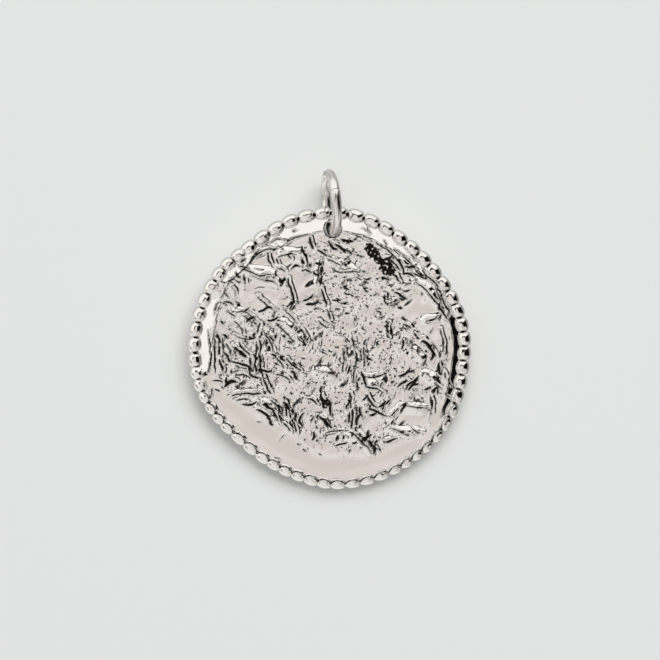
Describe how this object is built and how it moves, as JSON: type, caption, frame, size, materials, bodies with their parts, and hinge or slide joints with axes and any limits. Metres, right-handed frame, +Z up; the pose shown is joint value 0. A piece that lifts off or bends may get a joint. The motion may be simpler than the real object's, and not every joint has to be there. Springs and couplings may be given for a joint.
{
  "type": "medallion pendant",
  "caption": "Round cast metal medallion with a folded relief face, a smooth border and a beaded edge, hung from a round jump ring through a drilled hole.",
  "frame": {"origin": "middle of the ground that the pendant covers, on the ground, with the pendant lying on its back", "axes": "+Z up off the ground, +Y from the disc towards the jump ring, +X to the right seen from above the face"},
  "size_m": [0.025, 0.0284, 0.0059],
  "materials": {
    "cast_silver": "cast silver, polished and rhodium plated, with dark in the deepest creases",
    "silver_wire": "drawn silver wire, polished and rhodium plated"
  },
  "bodies": {
    "root": {"medallion": "cast_silver", "jump_ring": "silver_wire"}
  },
  "joints": []
}
